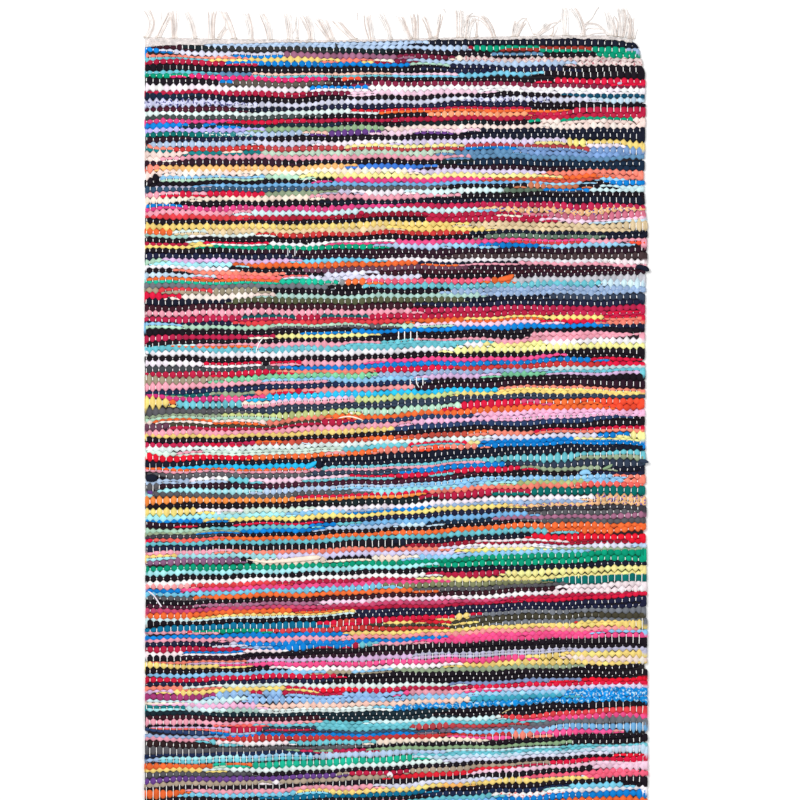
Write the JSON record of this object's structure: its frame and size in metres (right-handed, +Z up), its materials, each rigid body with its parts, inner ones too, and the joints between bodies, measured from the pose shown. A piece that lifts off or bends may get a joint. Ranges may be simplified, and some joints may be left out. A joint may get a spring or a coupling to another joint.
{
  "type": "rag-woven cotton rug",
  "caption": "Flat rectangular rug woven from cotton rag strips in mixed stripes, with ribbed picks, rounded selvedges, a narrow yarn heading and a knotted warp fringe at each end.",
  "frame": {"origin": "centre of the overall box, fringe included, on the floor plane that the rug lies on", "axes": "+X across the width to the right, +Y along the length towards the far fringe, +Z up"},
  "size_m": [0.8064, 1.5986, 0.0098],
  "materials": {
    "rags": "matte",
    "heading_yarn": "matte",
    "warp_yarn": "matte"
  },
  "bodies": {
    "root": {"rag_field": "rags", "heading_far": "heading_yarn", "heading_near": "heading_yarn", "fringe_far": "warp_yarn", "fringe_near": "warp_yarn"}
  },
  "joints": []
}
